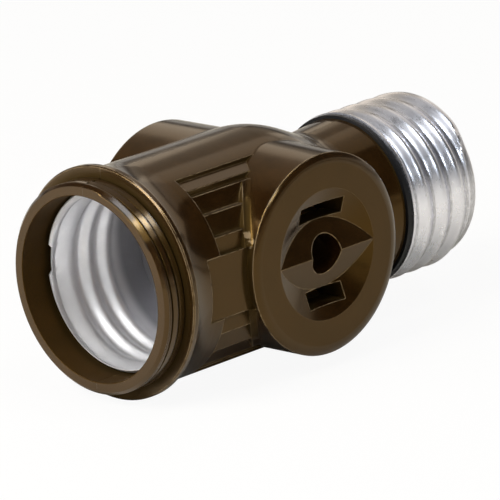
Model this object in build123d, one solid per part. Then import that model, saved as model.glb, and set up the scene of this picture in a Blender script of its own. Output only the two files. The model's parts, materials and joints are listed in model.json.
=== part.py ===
from build123d import *
import math
import os

os.makedirs("parts", exist_ok=True)

# A screw-in lamp holder with two side outlets, moulded as two halves that meet in the plane x = 0.
# The lamp axis is Y: the mouth faces -Y at y = 0, the screw base points to +Y, Z is up.

# Collar and flange
rim_radius = 15.5
rim_chamfer = 0.45
rim_width = 0.7
collar_radius = 15.05
flange_radius = 17.2
flange_start = 3.7
flange_end = 4.8
flange_edge = 0.2
flare_end = 9.5

# Barrel, shoulder and neck
barrel_radius = 16.13
shoulder_start = 35.35
shoulder_round = 15.6
neck_start = 44.65
neck_fillet = 4.8
neck_step = 1.35
neck_flare = 0.65
neck_end = 52.4
spigot_gap = 1.5

# Mouth and socket pocket
mouth_radius = 13.7
lip_depth = 5.05
pocket_end = 24.4

# Grip steps on both flanks: corner angles round the barrel, the sunk top land and the flat panel between them
step_angles = (16.5, 26.0, 38.3, 50.0)
step_tread = 0.8
land_angle = 63.2
land_depth = 0.55
land_fall = 0.75
step_start = 11.2
panel_start = 8.45
panel_depth = 0.8

# Outlet drums
outlet_y = 31.1
face_x = 16.9
face_radius = 13.3
drum_edge_width = 1.5
drum_edge_depth = 0.5
drum_taper = 1.0
drum_blend = 0.9
step_gap = 0.9

# Outlet dish with its ridge, slots and clamping hole
dish_radius = 9.63
dish_angle = 21.3
ridge_angle = 18.8
slot_spacing = 12.7
slot_width = 2.45
neutral_slot = 8.8
hot_slot = 7.25
clamp_hole_radius = 2.95
clamp_seat_x = 8.0

# Contact chambers behind the slots
chamber_x = 12.0
chamber_length = 10.4
chamber_height = 4.6

# Brass work
strip = 0.8
leaf = 0.4
leaf_width = 8.0
blade_gap = 1.3
clip_reach = 11.4
clip_spread = 3.2
clip_bend = 3.8
throat_depth = 2.1
tab_length = 2.9
bus_height = 3.2
tail_height = 2.4
foot_length = 4.0
rivet_radius = 0.8
rivet_head_radius = 1.3
rivet_head = 0.4
tongue_width = 5.0
tongue_length = 4.2
tongue_rise = 3.6

# Screw shells: rolled sheet with the medium lamp thread
sheet = 0.4
thread_pitch = 3.63
thread_depth = 0.8
socket_lip = 5.55
socket_turns = 3
socket_floor_hole = 4.2
base_shell_radius = 13.2
base_lip = 1.85
base_turns = 3
base_end_turn = 3.85
base_end_length = 2.9

# Insulators, base contact and clamping rivet
fibre_thickness = 1.2
washer_thickness = 1.0
washer_inset = 0.2
insulator_flange = 1.0
insulator_rise = 2.8
insulator_tip_radius = 5.2
button_radius = 4.4
button_height = 1.3
stem_radius = 1.1
clamp_radius = 1.6
clamp_head_radius = 2.6
clamp_head = 1.1
clamp_bore_radius = 1.0
peg_radius = 0.9
peg_length = 1.5

# Fit between pieces that go into one another, and how far a cut runs past an open end
clearance = 0.1
overrun = 1.0

slot_z = slot_spacing / 2
drum_radius = face_radius + drum_edge_width
spigot_radius = base_shell_radius - thread_depth - sheet - spigot_gap
neck_radius = spigot_radius + neck_step
washer_radius = base_shell_radius - washer_inset
base_end_hole = base_shell_radius - base_end_turn
floor_y = pocket_end - fibre_thickness
chamber_start = outlet_y - chamber_length / 2
chamber_end = outlet_y + chamber_length / 2
tab_start = outlet_y + leaf_width / 2
tab_end = tab_start + tab_length
tab_rivet_y = tab_start + tab_length / 2
base_start = neck_end + washer_thickness
base_thread_start = base_start + base_lip
base_thread_end = base_thread_start + base_turns * thread_pitch
base_turn_in = base_thread_end + thread_pitch / 4
base_end = base_thread_end + base_end_length
spigot_end = base_end - sheet - insulator_flange
finger_start = base_start + clearance
finger_end = base_thread_start - clearance
foot_rivet_x = foot_length / 2 + strip / 4
tongue_rivet_x = tongue_width / 2 - rivet_head_radius + clearance
outside = 2 * flange_radius


def turned(*points):
    return revolve(make_face(Polyline(*points, close=True)), Axis.Y)


def block(x0, x1, y0, y1, z0, z1):
    return Pos((x0 + x1) / 2, (y0 + y1) / 2, (z0 + z1) / 2) * Box(x1 - x0, y1 - y0, z1 - z0)


def rod_x(radius, x0, x1, y, z):
    return Pos((x0 + x1) / 2, y, z) * Rot(0, 90, 0) * Cylinder(radius, x1 - x0)


def rod_y(radius, y0, y1, x=0, z=0):
    return Pos(x, (y0 + y1) / 2, z) * Rot(90, 0, 0) * Cylinder(radius, y1 - y0)


def prism_y(points, y0, y1):
    # A prism along the lamp axis from its outline in x and z
    outline = make_face(Polyline(*[(x, y0, z) for x, z in points], close=True))
    return extrude(outline, y1 - y0, dir=(0, 1, 0))


def on_face(solid):
    # Stands a solid that was drawn along Z on the axis of the outlet that faces +X
    return Pos(0, outlet_y, 0) * Rot(0, 90, 0) * solid


def end_inner_radius(y):
    # Inner radius of the base shell where it turns in towards its end
    start_y, end_y = base_turn_in, base_end - sheet
    start_radius, end_radius = base_shell_radius - thread_depth - sheet, base_end_hole + sheet / 2
    return start_radius + (end_radius - start_radius) * (y - start_y) / (end_y - start_y)


def body_form():
    # Collar, flange, flare, barrel, shoulder, neck and spigot, turned about the lamp axis
    flare_from = (flange_radius - flange_edge, flange_end)
    flare_to = (barrel_radius, flare_end)
    flare_drop = flare_from[0] - flare_to[0]
    flare_run = flare_end - flange_end
    flare_radius = (flare_drop ** 2 + flare_run ** 2) / (2 * flare_drop)
    front = Polyline(
        (0, 0),
        (rim_radius - rim_chamfer, 0),
        (rim_radius, rim_chamfer),
        (rim_radius, rim_width),
        (collar_radius, rim_width),
        (collar_radius, flange_start),
        (flange_radius - flange_edge, flange_start),
        (flange_radius, flange_start + flange_edge),
        (flange_radius, flange_end - flange_edge),
        flare_from,
    )
    flare = RadiusArc(flare_from, flare_to, flare_radius)
    back = Polyline(
        flare_to,
        (barrel_radius, shoulder_start),
        (neck_radius, neck_start),
        (neck_radius + neck_flare, neck_end),
        (spigot_radius, neck_end),
        (spigot_radius, base_thread_end),
        (end_inner_radius(spigot_end) - clearance, spigot_end),
        (0, spigot_end),
        (0, 0),
    )
    section = make_face(front + flare + back)
    shoulder = section.vertices().sort_by_distance((barrel_radius, shoulder_start))[0]
    section = fillet(shoulder, shoulder_round)
    neck = section.vertices().sort_by_distance((neck_radius, neck_start))[0]
    section = fillet(neck, neck_fillet)
    return revolve(section, Axis.Y)


def drum_form(length):
    # The drum of one outlet, tapered for draft
    taper = math.tan(math.radians(drum_taper))
    start, end = (drum_radius + (face_x - drum_edge_depth - x) * taper for x in (0, length))
    return on_face(Cone(start, end, length, align=(Align.CENTER, Align.CENTER, Align.MIN)))


def drum_trim():
    # What lies beyond the outlet face and the crown that falls away to its outer edge
    edge_x = face_x - drum_edge_depth
    crown_radius = (drum_edge_width ** 2 + drum_edge_depth ** 2) / (2 * drum_edge_depth)
    reach = drum_radius + step_gap
    corner = Polyline(
        (face_radius, face_x),
        (0, face_x),
        (0, outside),
        (reach, outside),
        (reach, edge_x),
        (drum_radius, edge_x),
    )
    crown = RadiusArc((drum_radius, edge_x), (face_radius, face_x), -crown_radius)
    ring = revolve(make_face(corner + crown), Axis.Y)
    return on_face(Rot(90, 0, 0) * ring)


def grip_steps():
    # Steps of the right flank: corners on the barrel, level treads and leaning risers, with a sunk land on top
    corners = [
        (barrel_radius * math.cos(math.radians(a)), barrel_radius * math.sin(math.radians(a)))
        for a in (*step_angles, land_angle)
    ]
    land_x, land_z = corners.pop()
    stairs = [(outside, corners[0][1])]
    for x, z in corners:
        stairs += [(x, z), (x - step_tread, z)]
    land_end = corners[-1][0] - step_tread - clearance
    stairs += [(land_end, land_z - land_depth - land_fall), (land_x, land_z - land_depth), (land_x, land_z)]
    stairs.append((outside, land_z))
    upper = prism_y(stairs, step_start, outlet_y)
    lower = mirror(upper, Plane.XY)
    panel_z = corners[0][1]
    panel = block(barrel_radius - panel_depth, outside, panel_start, outlet_y, -panel_z, panel_z)
    stair_z = corners[-1][1]
    reach = rod_x(drum_radius + step_gap, 0, outside, outlet_y, 0)
    reach &= block(0, outside, step_start, outlet_y, -stair_z, stair_z)
    return (upper + lower - reach) + panel - drum_form(outside)


def outlet_cut():
    # Conical dish with the roof ridge left standing, two slots and the clamping hole
    dish_depth = dish_radius * math.tan(math.radians(dish_angle))
    dish = Cone(0, dish_radius, dish_depth, align=(Align.CENTER, Align.CENTER, Align.MAX))
    dish = on_face(Pos(0, 0, face_x) * dish)
    ridge_fall = 2 * dish_radius * math.tan(math.radians(ridge_angle))
    ridge = prism_y(
        [(face_x, 0), (face_x - ridge_fall, 2 * dish_radius), (face_x - ridge_fall, -2 * dish_radius)],
        outlet_y - 2 * dish_radius,
        outlet_y + 2 * dish_radius,
    )
    cut = dish - ridge
    for length, z in ((neutral_slot, slot_z), (hot_slot, -slot_z)):
        slot = block(0, face_x, -length / 2, length / 2, -slot_width / 2, slot_width / 2)
        cut += Pos(0, outlet_y, z) * slot
    cut += rod_x(clamp_hole_radius, clamp_seat_x, face_x, outlet_y, 0)
    cut += rod_x(clamp_radius + clearance, 0, clamp_seat_x, outlet_y, 0)
    return cut


def chambers():
    # Room for the contact clips behind the slots, and for their riveted tabs
    room = None
    for z in (slot_z, -slot_z):
        low, high = z - chamber_height / 2, z + chamber_height / 2
        bay = block(0, chamber_x, chamber_start, chamber_end, low, high)
        tabs = block(0, strip + leaf + rivet_head + clearance, chamber_end, tab_end + clearance, low, high)
        room = bay + tabs if room is None else room + bay + tabs
    return room


def neutral_bus(grow=0.0):
    # Flat stamping in the parting plane: foot under the socket shell, bus, tail and finger to the base shell
    half = strip / 2 + grow
    tail_low, tail_high = slot_z - tail_height / 2 - grow, slot_z + tail_height / 2 + grow
    bus_low, bus_high = slot_z - bus_height / 2 - grow, slot_z + bus_height / 2 + grow
    finger = base_shell_radius - sheet - clearance
    plate = block(-half, half, floor_y, tab_end, bus_low, bus_high)
    plate += block(-half, half, tab_end, finger_end, tail_low, tail_high)
    plate += block(-half, half, finger_start - grow, finger_end + grow, slot_z, finger + grow)
    plate += block(-half, foot_length + grow, floor_y, floor_y + strip + grow, bus_low, bus_high)
    return plate


def hot_bus(grow=0.0):
    # Flat stamping in the parting plane: foot behind the centre contact, bus, and tail to the base contact
    half = strip / 2 + grow
    axis_low, axis_high = -tail_height / 2 - grow, tail_height / 2 + grow
    tail_low, tail_high = axis_low - slot_z, axis_high - slot_z
    bus_low, bus_high = -slot_z - bus_height / 2 - grow, -slot_z + bus_height / 2 + grow
    arm_start = chamber_start + clearance - grow
    arm_end = chamber_start + clearance + tail_height + grow
    turn_start = finger_end + tail_height - grow
    turn_end = turn_start + tail_height + 2 * grow
    plate = block(-half, half, arm_start, tab_end, bus_low, bus_high)
    plate += block(-half, half, arm_start, arm_end, bus_low, axis_high)
    plate += block(-half, half, floor_y - strip, arm_end, axis_low, axis_high)
    plate += block(-half, half, tab_end, turn_end, tail_low, tail_high)
    plate += block(-half, half, turn_start, turn_end, tail_low, axis_high)
    plate += block(-half, half, turn_start, spigot_end, axis_low, axis_high)
    foot = tongue_width / 2 + grow
    plate += block(-foot, foot, floor_y - strip, floor_y, axis_low, axis_high)
    return plate


def body_half():
    # The half that carries the outlet facing +X
    keep = block(0, outside, -overrun, base_end, -outside, outside)
    shell = body_form() & keep
    drum = drum_form(outside)
    joined = shell + drum
    joined = fillet(new_edges(shell, drum, combined=joined), drum_blend)
    half = joined - drum_trim() - grip_steps() - outlet_cut() - chambers()
    half -= rod_y(mouth_radius, -overrun, pocket_end)
    half -= neutral_bus(clearance) + hot_bus(clearance)
    return half


def body_halves():
    # The right half has holes for the locating pegs of the left one
    right = body_half()
    left = mirror(right, Plane.YZ)
    for y in (chamber_end, neck_start):
        right -= rod_x(peg_radius + clearance, 0, peg_length + clearance, y, 0)
        left += rod_x(peg_radius, 0, peg_length, y, 0)
    return right, left


def thread_turns(crest, root, start, turns):
    # Section of the rolled thread: flank, flat, flank and flat, each a quarter of the pitch
    quarter = thread_pitch / 4
    points = []
    for turn in range(turns):
        y = start + turn * thread_pitch
        points += [(crest, y), (root, y + quarter), (root, y + 2 * quarter), (crest, y + 3 * quarter)]
    return points + [(crest, start + turns * thread_pitch)]


def socket_shell():
    # Sheet shell that takes the lamp: plain lip, rolled thread and a floor with a hole
    wall = mouth_radius - clearance
    outer = [(wall, lip_depth)]
    outer += thread_turns(wall, wall - thread_depth, lip_depth + socket_lip, socket_turns)
    inner = [(r - sheet, y) for r, y in outer]
    floor = [(wall, floor_y), (socket_floor_hole, floor_y), (socket_floor_hole, floor_y - sheet)]
    floor.append((wall - sheet, floor_y - sheet))
    shell = turned(*outer, *floor, *reversed(inner))
    return shell - rod_y(rivet_radius + clearance, floor_y - sheet, floor_y, foot_rivet_x, slot_z)


def base_shell():
    # Sheet shell of the screw base: plain lip, rolled thread and a turned-in end
    root = base_shell_radius - thread_depth
    outer = [(base_shell_radius, base_start)]
    outer += thread_turns(base_shell_radius, root, base_thread_start, base_turns)
    outer.append((root, base_turn_in))
    inner = [(r - sheet, y) for r, y in outer]
    end = [(base_end_hole + sheet, base_end), (base_end_hole, base_end), (base_end_hole, base_end - sheet)]
    end.append((end_inner_radius(base_end - sheet), base_end - sheet))
    return turned(*outer, *end, *reversed(inner))


def fibre_disc():
    # Insulates the socket floor; cut out for both feet and for the tail of the shell rivet
    disc = rod_y(mouth_radius - clearance, floor_y, pocket_end)
    disc -= neutral_bus(clearance) + hot_bus(clearance)
    return disc - rod_y(rivet_head_radius + clearance, floor_y, pocket_end, foot_rivet_x, slot_z)


def centre_contact():
    # Springy tongue that presses on the lamp: a foot on the hot bus, folded over and rising to the mouth
    foot_y = floor_y - strip - leaf / 2
    fold_z = rivet_head_radius + leaf
    path = Polyline(
        (foot_y, -tail_height / 2),
        (foot_y, fold_z),
        (foot_y - tongue_rise, fold_z - tongue_length / 2),
        (foot_y - tongue_rise + leaf, fold_z - tongue_length),
    )
    tongue = extrude(Plane.YZ * trace(path, leaf), tongue_width / 2, both=True)
    return tongue - rod_y(rivet_radius + clearance, floor_y - strip - leaf, floor_y, tongue_rivet_x, 0)


def contact_clip(side, z):
    # Double-leaf clip of one slot: a back on the bus, two leaves that close on the blade and flare at the mouth
    back = strip / 2 + leaf / 2
    throat = clip_reach - throat_depth
    upper = [
        (back, z),
        (back, z + clip_spread / 2),
        (clip_bend, z + clip_spread / 2),
        (throat, z + blade_gap / 2 + leaf / 2),
        (clip_reach, z + clip_spread / 2),
    ]
    lower = [(x, 2 * z - h) for x, h in reversed(upper[1:])]
    path = Polyline(*lower, *upper[1:])
    clip = Pos(0, outlet_y, 0) * extrude(Plane.XZ * trace(path, leaf), leaf_width / 2, both=True)
    tab_half = bus_height / 2
    clip += block(strip / 2, strip / 2 + leaf, tab_start, tab_end, z - tab_half, z + tab_half)
    clip -= rod_x(rivet_radius + clearance, 0, strip + leaf, tab_rivet_y, z)
    return clip if side > 0 else mirror(clip, Plane.YZ)


def rivet_x(half_grip, y, z):
    # Rivet across the parting plane with a head at each end
    rivet = rod_x(rivet_radius, -half_grip, half_grip, y, z)
    rivet += rod_x(rivet_head_radius, half_grip, half_grip + rivet_head, y, z)
    return rivet + rod_x(rivet_head_radius, -half_grip - rivet_head, -half_grip, y, z)


def shell_rivet():
    # Joins the socket floor to the foot of the neutral bus
    rivet = rod_y(rivet_radius, floor_y - sheet, floor_y + strip, foot_rivet_x, slot_z)
    rivet += rod_y(rivet_head_radius, floor_y - sheet - rivet_head, floor_y - sheet, foot_rivet_x, slot_z)
    return rivet + rod_y(rivet_head_radius, floor_y + strip, pocket_end, foot_rivet_x, slot_z)


def tongue_rivet():
    # Joins the tongue to the foot of the hot bus, flush with the fibre disc
    front = floor_y - strip - leaf
    rivet = rod_y(rivet_radius, front, floor_y, tongue_rivet_x, 0)
    return rivet + rod_y(rivet_radius + rivet_head, front - rivet_head, front, tongue_rivet_x, 0)


def clamping_rivet():
    # Semi-tubular rivet that holds the halves together, its heads sunk in the outlet ridges
    rivet = rod_x(clamp_radius, -clamp_seat_x, clamp_seat_x, outlet_y, 0)
    rivet += rod_x(clamp_head_radius, clamp_seat_x, clamp_seat_x + clamp_head, outlet_y, 0)
    rivet += rod_x(clamp_head_radius, -clamp_seat_x - clamp_head, -clamp_seat_x, outlet_y, 0)
    return rivet - rod_x(clamp_bore_radius, -clamp_seat_x - clamp_head, -clamp_seat_x / 2, outlet_y, 0)


def base_washer():
    inner = spigot_radius + clearance
    return rod_y(washer_radius, neck_end, base_start) - rod_y(inner, neck_end, base_start)


def base_insulator():
    # End plug of the base, held behind the turned-in end of the shell
    plug = base_end_hole - clearance
    stem = stem_radius + clearance
    return turned(
        (stem, spigot_end),
        (end_inner_radius(spigot_end) - clearance, spigot_end),
        (end_inner_radius(base_end - sheet) - clearance, base_end - sheet),
        (plug, base_end - sheet),
        (plug, base_end),
        (insulator_tip_radius, base_end + insulator_rise),
        (stem, base_end + insulator_rise),
    )


def base_contact():
    # Domed centre contact with its stem through the end plug
    top = base_end + insulator_rise
    section = Polyline((0, top + button_height), (0, spigot_end), (stem_radius, spigot_end), (stem_radius, top),
                       (button_radius, top), (button_radius, top + button_height / 3))
    dome_radius = (button_radius ** 2 + (2 * button_height / 3) ** 2) / (4 * button_height / 3)
    dome = RadiusArc((button_radius, top + button_height / 3), (0, top + button_height), -dome_radius)
    return revolve(make_face(section + dome), Axis.Y)


def with_holes(plate, z):
    # Rivet hole of a bus for its clip tabs
    return plate - rod_x(rivet_radius + clearance, -strip, strip, tab_rivet_y, z)


right_half, left_half = body_halves()
neutral = with_holes(neutral_bus(), slot_z)
neutral -= rod_y(rivet_radius + clearance, floor_y, floor_y + strip, foot_rivet_x, slot_z)
hot = with_holes(hot_bus(), -slot_z)
hot -= rod_y(rivet_radius + clearance, floor_y - strip, floor_y, tongue_rivet_x, 0)
clip_grip = strip / 2 + leaf

nodes = {
    "body_half_right": right_half,
    "body_half_left": left_half,
    "socket_screw_shell": socket_shell(),
    "socket_shell_rivet": shell_rivet(),
    "socket_fibre_disc": fibre_disc(),
    "socket_center_contact": centre_contact(),
    "center_contact_rivet": tongue_rivet(),
    "neutral_bus": neutral,
    "hot_bus": hot,
    "clip_rivets": Compound(children=[rivet_x(clip_grip, tab_rivet_y, z) for z in (slot_z, -slot_z)]),
    "clamping_rivet": clamping_rivet(),
    "base_washer": base_washer(),
    "base_screw_shell": base_shell(),
    "base_end_insulator": base_insulator(),
    "base_center_contact": base_contact(),
}
for side, sign in (("right", 1), ("left", -1)):
    nodes[f"clip_{side}_neutral"] = contact_clip(sign, slot_z)
    nodes[f"clip_{side}_hot"] = contact_clip(sign, -slot_z)

for name, solid in nodes.items():
    export_step(solid, f"parts/{name}.step")
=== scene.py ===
import bpy
import json
import math
from mathutils import Matrix, Vector


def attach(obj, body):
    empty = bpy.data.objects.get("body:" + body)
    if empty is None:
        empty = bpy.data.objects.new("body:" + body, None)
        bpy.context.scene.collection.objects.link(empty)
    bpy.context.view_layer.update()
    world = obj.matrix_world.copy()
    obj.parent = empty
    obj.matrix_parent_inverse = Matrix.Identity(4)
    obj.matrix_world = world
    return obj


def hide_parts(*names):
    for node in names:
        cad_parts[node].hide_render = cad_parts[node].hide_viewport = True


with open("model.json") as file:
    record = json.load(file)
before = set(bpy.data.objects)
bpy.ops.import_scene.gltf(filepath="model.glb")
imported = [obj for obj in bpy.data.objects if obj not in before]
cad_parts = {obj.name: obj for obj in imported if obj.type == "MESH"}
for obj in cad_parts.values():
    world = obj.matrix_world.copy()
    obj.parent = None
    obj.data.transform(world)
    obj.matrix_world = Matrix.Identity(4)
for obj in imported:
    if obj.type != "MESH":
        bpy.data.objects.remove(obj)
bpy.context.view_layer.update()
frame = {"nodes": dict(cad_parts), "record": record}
nodes = frame["nodes"]
mm = 0.001
print("frame loaded:", len(nodes), "nodes")


# shader maths: a wire is one output socket, and sums or products of wires become Math nodes
class Wire:
    def __init__(self, finish, socket):
        self.finish, self.socket = finish, socket

    def math(self, operation, other=0.0, flip=False):
        first, second = (other, self) if flip else (self, other)
        return self.finish.add("ShaderNodeMath", {"operation": operation}, {0: first, 1: second})

    def __add__(self, other):
        return self.math("ADD", other)

    def __radd__(self, other):
        return self.math("ADD", other, True)

    def __sub__(self, other):
        return self.math("SUBTRACT", other)

    def __rsub__(self, other):
        return self.math("SUBTRACT", other, True)

    def __mul__(self, other):
        return self.math("MULTIPLY", other)

    def __rmul__(self, other):
        return self.math("MULTIPLY", other, True)

    def __truediv__(self, other):
        return self.math("DIVIDE", other)

    def __rtruediv__(self, other):
        return self.math("DIVIDE", other, True)

    def __pow__(self, other):
        return self.math("POWER", other)

    def __rpow__(self, other):
        return self.math("POWER", other, True)

    def __lt__(self, other):
        return self.math("LESS_THAN", other)

    def __gt__(self, other):
        return self.math("GREATER_THAN", other)

    def most(self, other):
        return self.math("MAXIMUM", other)

    def size(self):
        return self.math("ABSOLUTE")


class Finish:
    def __init__(self, owner):
        owner.use_nodes = True
        self.owner, self.tree = owner, owner.node_tree
        self.tree.nodes.clear()

    def add(self, kind, settings=None, inputs=None, out=0):
        node = self.tree.nodes.new(kind)
        for key, value in (settings or {}).items():
            setattr(node, key, value)
        for key, value in (inputs or {}).items():
            if isinstance(value, Wire):
                self.tree.links.new(value.socket, node.inputs[key])
            else:
                node.inputs[key].default_value = value
        return Wire(self, node.outputs[out]) if node.outputs else None

    def place(self, out="Object"):
        return self.add("ShaderNodeTexCoord", out=out)

    def axes(self):
        split = self.add("ShaderNodeSeparateXYZ", inputs={0: self.place()})
        return [Wire(self, s) for s in split.socket.node.outputs]

    def stretched(self, scale):
        return self.add("ShaderNodeMapping", inputs={"Vector": self.place(), "Scale": scale})

    def noise(self, scale, detail, rough, at=None):
        values = {"Vector": at or self.place(), "Scale": scale, "Detail": detail, "Roughness": rough}
        return self.add("ShaderNodeTexNoise", inputs=values)

    def ramp(self, value, low, high):
        settings = {"interpolation_type": "SMOOTHSTEP"}
        return self.add("ShaderNodeMapRange", settings, {"Value": value, "From Min": low, "From Max": high})

    def blend(self, amount, first, second):
        ends = {"Factor": amount, 6: first, 7: second}  # sockets 6 and 7 are the node's two colours
        return self.add("ShaderNodeMix", {"data_type": "RGBA"}, ends, out=2)

    def bump(self, height, strength, distance, normal=None):
        values = {"Height": height, "Strength": strength, "Distance": distance}
        if normal is not None:
            values["Normal"] = normal
        return self.add("ShaderNodeBump", inputs=values)

    def surface(self, **values):
        sockets = {key.replace("_", " "): value for key, value in values.items()}
        shader = self.add("ShaderNodeBsdfPrincipled", inputs=sockets)
        self.add("ShaderNodeOutputMaterial", inputs={"Surface": shader})
        return self.owner


def newFinish(name):
    return Finish(bpy.data.materials.new(name))


# a pair is where a mask starts and where it is full; a noise has its scale, detail and roughness
bakelite = dict(
    brown=(0.0065, 0.0022, 0.0004, 1), pale=(0.019, 0.0076, 0.0017, 1), paleFrom=(0.36, 0.64),
    cloud=(260, 3, 0.6), cloudShare=0.4, cloudGloss=0.08,
    speck=(5200, 2, 0.6), speckShare=0.6, speckGloss=0.06, speckBump=0.3,
    tint=(1.0, 0.58, 0.14, 1), index=1.58, gloss=0.15, dull=0.75, bump=0.12, bumpDepth=0.05 * mm,
    shadeAndDirt=(0.0015, 0.0009, 0.0004, 1), hollow=3 * mm, hollowRays=8, hollowFrom=(0.90, 0.60),
    seam=0.06 * mm, seamDirt=0.6,
    wearAndHighlight=(0.30, 0.22, 0.13, 1), edge=0.24 * mm, edgeRays=6, edgeTurn=(0.995, 0.93), edgeClear=(0.55, 0.8),
    edgePatch=(700, 3, 0.6), edgePatchFrom=(0.32, 0.52), edgeWearAndHighlightShare=0.8,
    collar=(3.7 * mm, 3.4 * mm), rub=(5000, 2, 0.6), rubStretch=(0.03, 1, 0.03),
    outletY=31.1 * mm, footStart=(14.82 * mm, 14.94 * mm), footEnd=(15.9 * mm, 15.6 * mm),
    footHeight=(11 * mm, 9.5 * mm), footShade=0.9,
    glintSpots=[((15.6, 17.6, 4.9), 0.8), ((15.2, 17.0, 6.2), 0.6)], glintSpotShare=0.6,
    darkSpots=[((15.8, 16.2, -5.4), 1.1), ((16.0, 11.3, -5.2), 0.3), ((15.8, 14.8, -7.2), 0.5)],
    torn=(1800, 3, 0.6), tornReach=2.4, tornCore=0.75,
    boreWall=(13.85 * mm, 13.75 * mm), boreDepth=(5.6 * mm, 5.3 * mm),
    rimLean=17, rimDepth=(0.72 * mm, 0.68 * mm), rimWall=(14.65 * mm, 14.85 * mm),
    rimRight=(2 * mm, 6 * mm), rimUp=(7 * mm, 9 * mm),
    polish=0.4, flangeDepth=(5.2 * mm, 4.9 * mm), outletPolish=0.5,
    outletEdge=(13.2 * mm, 13.4 * mm), outletFace=(15.9 * mm, 16.2 * mm))


def tornSpot(f, centre, radius, ragged):
    # a patch round a point in millimetres, with a ragged border
    p = bakelite
    ends = {0: f.place(), 1: [c * mm for c in centre]}
    gap = f.add("ShaderNodeVectorMath", {"operation": "DISTANCE"}, ends, out="Value")
    gap = gap + (ragged - 0.5) * (p["tornReach"] * radius * mm)
    return f.ramp(gap, radius * mm, p["tornCore"] * radius * mm)


def bakeliteFinish():
    f = newFinish("bakelite")
    p = bakelite
    x, y, z = f.axes()
    radius = (x * x + z * z) ** 0.5
    along = y - p["outletY"]
    fromOutlet = (along * along + z * z) ** 0.5
    cloud = f.noise(*p["cloud"])  # slow drift of the moulding powder's colour
    speck = f.noise(*p["speck"])
    ragged = f.noise(*p["torn"])
    onCollar = f.ramp(y, *p["collar"])
    bore = f.ramp(radius, *p["boreWall"]) * f.ramp(y, *p["boreDepth"])  # matt wall of the mouth

    # painted shade in hollows and at the outlets' feet, with small dark spots low down
    rays = {"samples": p["hollowRays"]}
    clear = f.add("ShaderNodeAmbientOcclusion", rays, {"Distance": p["hollow"]}, out="AO")
    foot = f.ramp(fromOutlet, *p["footStart"]) * f.ramp(fromOutlet, *p["footEnd"])
    foot = foot * f.ramp(z.size(), *p["footHeight"])
    paintedShadeAndSpots = f.ramp(clear, *p["hollowFrom"]).most(foot * p["footShade"])
    # small dark spots on the lower steps
    for centre, size in p["darkSpots"]:
        paintedShadeAndSpots = paintedShadeAndSpots.most(tornSpot(f, centre, size, ragged))

    # pale edges where the rounded normal turns away from the face, in patches: partly real wear, partly a
    # painted highlight
    rounded = f.add("ShaderNodeBevel", {"samples": p["edgeRays"]}, {"Radius": p["edge"]})
    flat = f.add("ShaderNodeNewGeometry", out="Normal")
    turned = f.add("ShaderNodeVectorMath", {"operation": "DOT_PRODUCT"}, {0: rounded, 1: flat}, out="Value")
    patch = f.ramp(f.noise(*p["edgePatch"]), *p["edgePatchFrom"])
    edgeWearAndHighlight = f.ramp(turned, *p["edgeTurn"]) * f.ramp(clear, *p["edgeClear"]) * patch * (1 - onCollar)

    colour = f.ramp(cloud * p["cloudShare"] + speck * p["speckShare"], *p["paleFrom"])
    colour = f.blend(colour, p["brown"], p["pale"])
    # pale edges: partly real wear, partly painted highlight
    colour = f.blend(edgeWearAndHighlight * p["edgeWearAndHighlightShare"], colour, p["wearAndHighlight"])
    # painted shade: darker in hollows and at the outlets' feet, plus the small dark spots
    colour = f.blend(paintedShadeAndSpots, colour, p["shadeAndDirt"])
    # painted highlight: pale spots on the fillet at the outlet's foot, where a lamp glints
    for centre, size in p["glintSpots"]:
        colour = f.blend(tornSpot(f, centre, size, ragged) * p["glintSpotShare"], colour, p["wearAndHighlight"])
    seam = x.size() < p["seam"]
    colour = f.blend(seam * p["seamDirt"], colour, p["shadeAndDirt"])

    rough = p["gloss"] + (cloud - 0.5) * p["cloudGloss"] + (speck - 0.5) * p["speckGloss"]
    rough = rough + paintedShadeAndSpots.most(bore) * (p["dull"] - p["gloss"])

    # on the upper right the rim's outer edge is rubbed to a gentle cone, so its normal leans forward there
    lean = math.radians(p["rimLean"])
    cone = f.add("ShaderNodeCombineXYZ", inputs={0: x / radius * math.cos(lean), 1: -math.sin(lean),
                                                 2: z / radius * math.cos(lean)})
    onRim = f.ramp(y, *p["rimDepth"]) * f.ramp(radius, *p["rimWall"])
    onRim = onRim * f.ramp(x, *p["rimRight"]) * f.ramp(z, *p["rimUp"])
    ends = {"Factor": onRim, 4: rounded, 5: cone}  # sockets 4 and 5 are the node's two vectors
    rounded = f.add("ShaderNodeMix", {"data_type": "VECTOR"}, ends, out=1)
    lines = f.noise(*p["rub"], at=f.stretched(p["rubStretch"]))  # rub marks left by shade rings
    skin = f.bump(speck * p["speckBump"] + lines * onCollar, p["bump"], p["bumpDepth"], rounded)

    # collar, flange and the outlets' rims are polished by handling
    outletRim = f.ramp(fromOutlet, *p["outletEdge"]) * f.ramp(x.size(), *p["outletFace"])
    handled = (f.ramp(y, *p["flangeDepth"]) * (1 - bore)).most(outletRim * p["outletPolish"]) * (1 - paintedShadeAndSpots)
    return f.surface(Base_Color=colour, Roughness=rough, Normal=skin, IOR=p["index"], Specular_Tint=p["tint"],
                     Coat_Weight=handled * p["polish"], Coat_Roughness=p["gloss"])


rolling = dict(cloud=(420, 3, 0.6), cloudGloss=0.16, lines=(900, 3, 0.7), lineStretch=(1, 6, 1),
               lineGloss=0.12, bump=0.08, bumpDepth=0.05 * mm)
baseAluminium = dict(bright=(0.90, 0.905, 0.98, 1), dull=(0.77, 0.775, 0.84, 1), gloss=0.29,
                     shadeAndDirt=(0.26, 0.26, 0.28, 1), valley=(12.50 * mm, 12.42 * mm), valleyPatch=(0.3, 0.6),
                     valleyDark=0.6)
socketAluminium = dict(bright=(0.90, 0.90, 0.91, 1), dull=(0.80, 0.80, 0.82, 1), gloss=0.50,
                       deepShade=(0.36, 0.36, 0.38, 1), deepShadeDepth=(17.5 * mm, 19.5 * mm))


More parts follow.
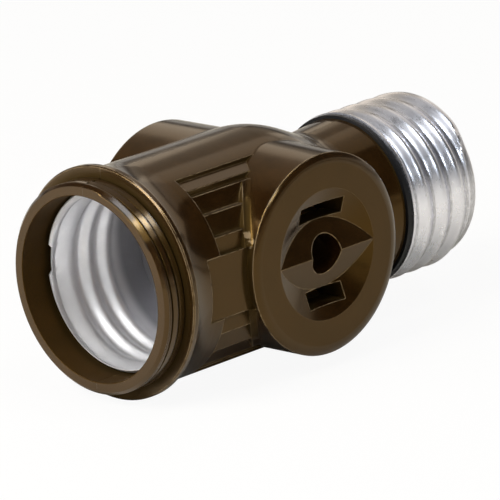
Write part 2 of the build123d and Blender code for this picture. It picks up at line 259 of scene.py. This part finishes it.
def aluminiumFinish(name, p):
    f = newFinish(name)
    x, y, z = f.axes()
    cloud = f.noise(*rolling["cloud"])
    drawn = f.noise(*rolling["lines"], at=f.stretched(rolling["lineStretch"]))  # fine lines of the rolling
    colour = f.blend(cloud, p["bright"], p["dull"])
    # painted shade: the socket's metal turns darker deep inside
    if "deepShade" in p:
        colour = f.blend(f.ramp(y, *p["deepShadeDepth"]), colour, p["deepShade"])
    if "shadeAndDirt" in p:
        valley = f.ramp((x * x + z * z) ** 0.5, *p["valley"])  # darker in patches at the bottom of the thread
        colour = f.blend(valley * f.ramp(drawn, *p["valleyPatch"]) * p["valleyDark"], colour, p["shadeAndDirt"])
    rough = p["gloss"] + (cloud - 0.5) * rolling["cloudGloss"] + (drawn - 0.5) * rolling["lineGloss"]
    skin = f.bump(drawn, rolling["bump"], rolling["bumpDepth"])
    return f.surface(Base_Color=colour, Metallic=1.0, Roughness=rough, Normal=skin)


brass = dict(bright=(0.78, 0.56, 0.26, 1), dull=(0.42, 0.29, 0.14, 1), dullFrom=(0.4, 0.7), gloss=0.32,
             cloud=(500, 4, 0.65), cloudGloss=0.2)
steel = dict(bright=(0.34, 0.33, 0.32, 1), dull=(0.18, 0.17, 0.16, 1), dullFrom=(0.4, 0.7), gloss=0.4,
             cloud=(700, 4, 0.65), cloudGloss=0.2)


def contactFinish(name, p):
    f = newFinish(name)
    cloud = f.noise(*p["cloud"])
    colour = f.blend(f.ramp(cloud, *p["dullFrom"]), p["bright"], p["dull"])
    return f.surface(Base_Color=colour, Metallic=1.0, Roughness=p["gloss"] + (cloud - 0.5) * p["cloudGloss"])


fibre = dict(cloud=(900, 4, 0.7), cloudGloss=0.15, grain=(4000, 2, 0.6), bump=0.15, bumpDepth=0.05 * mm,
             index=1.3)
redFibre = dict(dark=(0.27, 0.10, 0.06, 1), light=(0.34, 0.15, 0.09, 1), gloss=0.7)
blackFibre = dict(dark=(0.004, 0.004, 0.0045, 1), light=(0.010, 0.010, 0.011, 1), gloss=0.42)
blackPlug = dict(blackFibre, gloss=0.2)


def fibreFinish(name, p):
    f = newFinish(name)
    cloud = f.noise(*fibre["cloud"])
    colour = f.blend(cloud, p["dark"], p["light"])
    rough = p["gloss"] + (cloud - 0.5) * fibre["cloudGloss"]
    skin = f.bump(f.noise(*fibre["grain"]), fibre["bump"], fibre["bumpDepth"])
    return f.surface(Base_Color=colour, Roughness=rough, Normal=skin, IOR=fibre["index"])


finishes = {
    "bakelite": bakeliteFinish(),
    "aluminium_shell": aluminiumFinish("rolled_aluminium", baseAluminium),
    "brass": contactFinish("stamped_brass", brass),
    "rivet_steel": contactFinish("rivet_steel", steel),
    "red_fibre": fibreFinish("red_fibre", redFibre),
    "black_fibre": fibreFinish("black_fibre", blackFibre),
    "black_plug": fibreFinish("black_plug", blackPlug),
}
socketMetal = aluminiumFinish("socket_aluminium", socketAluminium)
for part in frame["record"]["subparts"]:
    mesh = nodes[part["node"]].data
    mesh.materials.clear()
    mesh.materials.append(finishes[part["material_slot"]])
print("finishes on", len(nodes), "nodes")


def ease(value, low, high):
    t = min(1.0, max(0.0, (value - low) / (high - low)))
    return t * t * (3 - 2 * t)


def steps(start, end, size):
    count = max(1, round(abs(end - start) / size))
    return [start + (end - start) * i / count for i in range(count)]


def setAt(turn, loop):
    # a loop of (radius, y) in millimetres, set at a turn in degrees from +Z towards +X
    s, c = math.sin(math.radians(turn)), math.cos(math.radians(turn))
    return [(r * s * mm, y * mm, r * c * mm) for r, y in loop]


def bridge(a, b, count):
    # quads between two loops of points that start at a and at b
    return [(a + j, b + j, b + (j + 1) % count, a + (j + 1) % count) for j in range(count)]


def addObject(name, data):
    thing = bpy.data.objects.new(name, data)
    bpy.context.scene.collection.objects.link(thing)
    return thing


def addPiece(name, points, faces, material, sharp=35):
    mesh = bpy.data.meshes.new(name)
    mesh.from_pydata(points, [], faces)
    mesh.polygons.foreach_set("use_smooth", [True] * len(faces))
    mesh.set_sharp_from_angle(angle=math.radians(sharp))
    mesh.materials.append(material)
    piece = addObject(name, mesh)
    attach(piece, "root")
    return piece


thread = dict(pitch=3.63, depth=0.8, sheet=0.4, around=160, fine=0.15)


def turnShell(section):
    # a full ring of sections; section(turn) gives a closed loop of (radius, y)
    around, count = thread["around"], len(section(0))
    points, faces = [], []
    for i in range(around):
        turn = 360 * i / around
        points += setAt(turn, section(turn))
        faces += bridge(i * count, (i + 1) % around * count, count)
    return points, faces


socketShell = dict(wall=13.65, lip=4.4, floor=23.2, hole=4.2, rows=118, ridge=13.05, turns=3, start=90,
                   rise=35, leadIn=0.2, lipSheet=0.35, fullSheet=6, notch=0.45, notchFrom=-94, notchTo=-76)


def socketSection(turn):
    # the lip draws in to the first ridge, which starts on the wall that the camera doesn't see
    p, t = socketShell, thread
    u = (turn - p["start"]) % 360 - 360
    first = p["ridge"] + t["pitch"] * ((u + p["start"]) / 360 - 1)
    last = first + t["pitch"] * (p["turns"] - 0.5)
    swell = ease(u, -360, p["rise"] - 360)
    side = (turn + 180) % 360 - 180
    lip = p["lip"] + p["notch"] * (p["notchFrom"] < side < p["notchTo"])
    bottom = p["floor"] - t["sheet"]
    outer, inner = [], []
    for y in steps(lip, bottom, (bottom - lip) / p["rows"]):
        wave = 0.5 + 0.5 * math.cos(2 * math.pi * (y - first) / t["pitch"])
        lead = ease(y, p["lip"] + p["leadIn"], first) if y < first else 0
        dip = max(lead, wave * swell if y < first + t["pitch"] / 2 else wave) if y < last else 0
        radius = p["wall"] - t["depth"] * dip
        share = p["lipSheet"] + (1 - p["lipSheet"]) * ease(y, p["lip"], p["lip"] + p["fullSheet"])
        outer.append((radius, y))
        inner.append((radius - t["sheet"] * share, y))
    floor = [(p["wall"], p["floor"]), (p["hole"], p["floor"]),
             (p["hole"], bottom), (p["wall"] - t["sheet"], bottom)]
    return outer + floor + inner[::-1]


points, faces = turnShell(socketSection)
socketPiece = addPiece("socket_shell_rolled", points, faces, socketMetal)
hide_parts("socket_screw_shell")

baseShell = dict(wall=13.2, lip=53.4, turnIn=67.05, end=69.04, hole=9.35, bendRows=9, crest=59.44, first=53.6,
                 last=66.7, fade=1.2, runOut=(195, 255))


def baseSection(turn):
    # the helix fades in behind the washer and runs out before the end turns in
    p, t = baseShell, thread
    u = (turn + 180) % 360
    last = p["last"] + t["pitch"] * u / 360 * (1 - ease(u, *p["runOut"]))
    outer = []
    for y in steps(p["lip"], p["turnIn"], t["fine"]):
        wave = 0.5 - 0.5 * math.cos(2 * math.pi * ((y - p["crest"]) / t["pitch"] - turn / 360))
        dip = max(wave * ease(y, p["first"], p["first"] + p["fade"]), ease(y, last - p["fade"], last))
        outer.append((p["wall"] - t["depth"] * dip, y))
    inner = [(r - t["sheet"], y) for r, y in outer]
    rows, bendTo = p["bendRows"], p["hole"] + t["sheet"]
    bend, back = [], []
    for k in range(1, rows + 1):
        a = math.radians(90 * k / rows)
        r = bendTo + (outer[-1][0] - bendTo) * math.cos(a)
        y = p["turnIn"] + (p["end"] - p["turnIn"]) * math.sin(a)
        bend.append((r, y))
        back.append((r - t["sheet"] * (1 - (k - 1) / rows), y - t["sheet"] * k / rows))
    tip = [(p["hole"], p["end"]), (p["hole"], p["end"] - t["sheet"])]
    return outer + bend + tip + back[::-1] + inner[::-1]


points, faces = turnShell(baseSection)
basePiece = addPiece("base_shell_rolled", points, faces, finishes["aluminium_shell"])
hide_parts("base_screw_shell")
print("screw shells rolled")

collarThread = dict(root=15.05, crest=15.5, sunk=0.2, pitch=1.25, first=1.51, low=0.5, high=3.5, flat=0.86,
                    flank=0.12, room=(0.1, 0.4), ridges=(-1, 4), step=2.5, sharp=30,
                    lean=0.24, leanLess=0.6, leanTurn=(50, 60))


def collarRing(turn, y):
    # a ridge's section, or nothing where the collar has no room left for it
    p = collarThread
    low, high = max(p["low"], y - p["flat"] / 2), min(p["high"], y + p["flat"] / 2)
    room = ease(high - low, *p["room"])
    if room <= 0:
        return None
    root, inside = p["root"], p["root"] - p["sunk"]
    crest = root + (p["crest"] - root) * room
    front = max(root, crest - p["lean"] * (1 - p["leanLess"] * ease(turn, *p["leanTurn"])))
    return setAt(turn, [(inside, low - p["flank"]), (root, low - p["flank"]), (front, low), (crest, high),
                        (root, high + p["flank"]), (inside, high + p["flank"])])


def collarHalf(name, startTurn):
    # ridges of the shade-ring thread on one half, each ending at the parting plane
    p = collarThread
    turns = [startTurn + k * p["step"] for k in range(round(180 / p["step"]) + 1)]
    points, faces = [], []
    for ridge in range(*p["ridges"]):
        rings = [collarRing(t, p["first"] + p["pitch"] * (ridge + (t - startTurn) / 360)) for t in turns]
        rings = [ring for ring in rings if ring]
        if len(rings) < 2:
            continue
        start, size = len(points), len(rings[0])
        for ring in rings:
            points += ring
        end = len(points) - size
        for a in range(start, end, size):
            faces += bridge(a, a + size, size)
        faces.append(tuple(range(start, start + size)))
        faces.append(tuple(range(end, end + size))[::-1])
    return addPiece(name, points, faces, finishes["bakelite"], p["sharp"])


collarHalf("collar_thread_right", 0)
collarHalf("collar_thread_left", 180)
print("collar thread cut")


def towards(azimuth, elevation):
    # unit vector, in degrees from -Y towards +X and up
    az, el = math.radians(azimuth), math.radians(elevation)
    return Vector((math.sin(az) * math.cos(el), -math.cos(az) * math.cos(el), math.sin(el)))


# camera, solved from the photograph: degrees, millimetres, pixels of a 500 pixel frame, clip in metres
camera = dict(azimuth=45.268, elevation=16.449, roll=-3.68, distance=806.883, target=(2.382, 30.0, -1.401),
              focal=5585.771, frame=500, sensor=36.0, clip=(0.05, 20))


def setCamera():
    p = camera
    back = towards(p["azimuth"], p["elevation"])
    roll = math.radians(p["roll"])
    right = (-back).cross(Vector((0, 0, 1))).normalized()
    up = right.cross(-back)
    across = math.cos(roll) * right + math.sin(roll) * up
    upright = -math.sin(roll) * right + math.cos(roll) * up
    lens = bpy.data.cameras.new("photo_camera")
    lens.sensor_width, lens.lens = p["sensor"], p["focal"] * p["sensor"] / p["frame"]
    lens.clip_start, lens.clip_end = p["clip"]
    eye = addObject("photo_camera", lens)
    eye.matrix_world = Matrix((across, upright, back)).transposed().to_4x4()
    eye.location = (Vector(p["target"]) + back * p["distance"]) * mm
    bpy.context.scene.camera = eye


setCamera()

# the floor lies at floorZ millimetres, is floorSize metres wide, and shows white to the camera by this share
stage = dict(floorZ=-17.2, floorSize=3.0, floorColour=(0.70, 0.665, 0.59, 1), white=0.93)


def setFloor():
    half, z = stage["floorSize"] / 2, stage["floorZ"] * mm
    corners = [(-half, -half, z), (half, -half, z), (half, half, z), (-half, half, z)]
    mesh = bpy.data.meshes.new("floor")
    mesh.from_pydata(corners, [], [(0, 1, 2, 3)])
    f = newFinish("pale_floor")
    seen = f.add("ShaderNodeLightPath", out="Is Camera Ray")
    paper = f.add("ShaderNodeBsdfDiffuse", inputs={"Color": stage["floorColour"]})
    glow = f.add("ShaderNodeEmission", inputs={"Color": (1, 1, 1, 1), "Strength": 1.0})
    shown = f.add("ShaderNodeMixShader", inputs={0: seen * stage["white"], 1: paper, 2: glow})
    f.add("ShaderNodeOutputMaterial", inputs={"Surface": shown})
    mesh.materials.append(f.owner)
    floor = addObject("floor", mesh)


setFloor()

# soft boxes: where they hang (degrees round and up, metres away), how large they are, and their strength
lights = {
    "key": dict(azimuth=90, elevation=62, far=0.7, size=(0.30, 0.36), power=0.78, colour=(0.95, 0.98, 1)),
    "glint": dict(azimuth=114, elevation=63, far=0.7, size=(0.10, 0.14), power=0.80, colour=(0.84, 0.92, 1)),
    "drum": dict(azimuth=90, elevation=28, far=0.7, size=(0.12, 0.10), power=0.50, colour=(0.84, 0.92, 1)),
    "front": dict(azimuth=48, elevation=18, far=0.7, size=(0.07, 0.10), power=0.20, colour=(0.84, 0.92, 1)),
    "fill": dict(azimuth=0, elevation=42, far=0.7, size=(0.35, 0.35), power=5.4, colour=(1, 1, 1)),
    "low": dict(azimuth=335, elevation=18, far=0.7, size=(0.3, 0.3), power=2.5, colour=(1, 1, 1)),
    "left": dict(azimuth=240, elevation=36, far=0.8, size=(0.9, 0.6), power=0.56, colour=(1, 0.87, 0.68)),
    "side": dict(azimuth=243, elevation=24, far=0.8, size=(0.50, 0.30), power=0.30, colour=(1, 0.87, 0.70)),
    "top": dict(azimuth=230, elevation=72, far=0.7, size=(0.50, 0.40), power=0.24, colour=(1, 0.96, 0.90)),
    "rear": dict(azimuth=192, elevation=46, far=0.7, size=(0.40, 0.35), power=0.22, colour=(1, 0.94, 0.86)),
    "back": dict(azimuth=190, elevation=18, far=0.7, size=(0.55, 0.28), power=0.36, colour=(1, 0.90, 0.76)),
}
lightsAim = (0, 31, 0)  # millimetres


def setLights():
    aim = Vector(lightsAim) * mm
    for name, p in lights.items():
        lamp = bpy.data.lights.new(name, "AREA")
        lamp.shape = "RECTANGLE"
        lamp.size, lamp.size_y = p["size"]
        lamp.energy, lamp.color = p["power"], p["colour"]
        holder = addObject(name, lamp)
        away = towards(p["azimuth"], p["elevation"])
        holder.location = aim + away * p["far"]
        holder.rotation_mode = "QUATERNION"
        holder.rotation_quaternion = away.to_track_quat("Z", "Y")


setLights()

# the paper sweeps up a little behind the object: full up to sweepFrom degrees, and gone at sweepTo
ambient = dict(strength=0.075, sweep=0.58, sweepFrom=5, sweepTo=9, colour=(1, 0.96, 0.89, 1))


def setWorld():
    p = ambient
    world = bpy.data.worlds.new("studio")
    bpy.context.scene.world = world
    f = Finish(world)
    seen = f.add("ShaderNodeLightPath", out="Is Camera Ray")
    rise = f.add("ShaderNodeSeparateXYZ", inputs={0: f.place("Generated")}, out=2)
    sweep = f.ramp(rise, math.sin(math.radians(p["sweepTo"])), math.sin(math.radians(p["sweepFrom"])))
    around = p["strength"] + sweep * (p["sweep"] - p["strength"])
    strength = seen + (1 - seen) * around
    colour = f.blend(seen, p["colour"], (1, 1, 1, 1))
    glow = f.add("ShaderNodeBackground", inputs={"Color": colour, "Strength": strength})
    f.add("ShaderNodeOutputWorld", inputs={"Surface": glow})


setWorld()
bpy.context.scene.view_settings.view_transform = "Standard"
print("stage set")
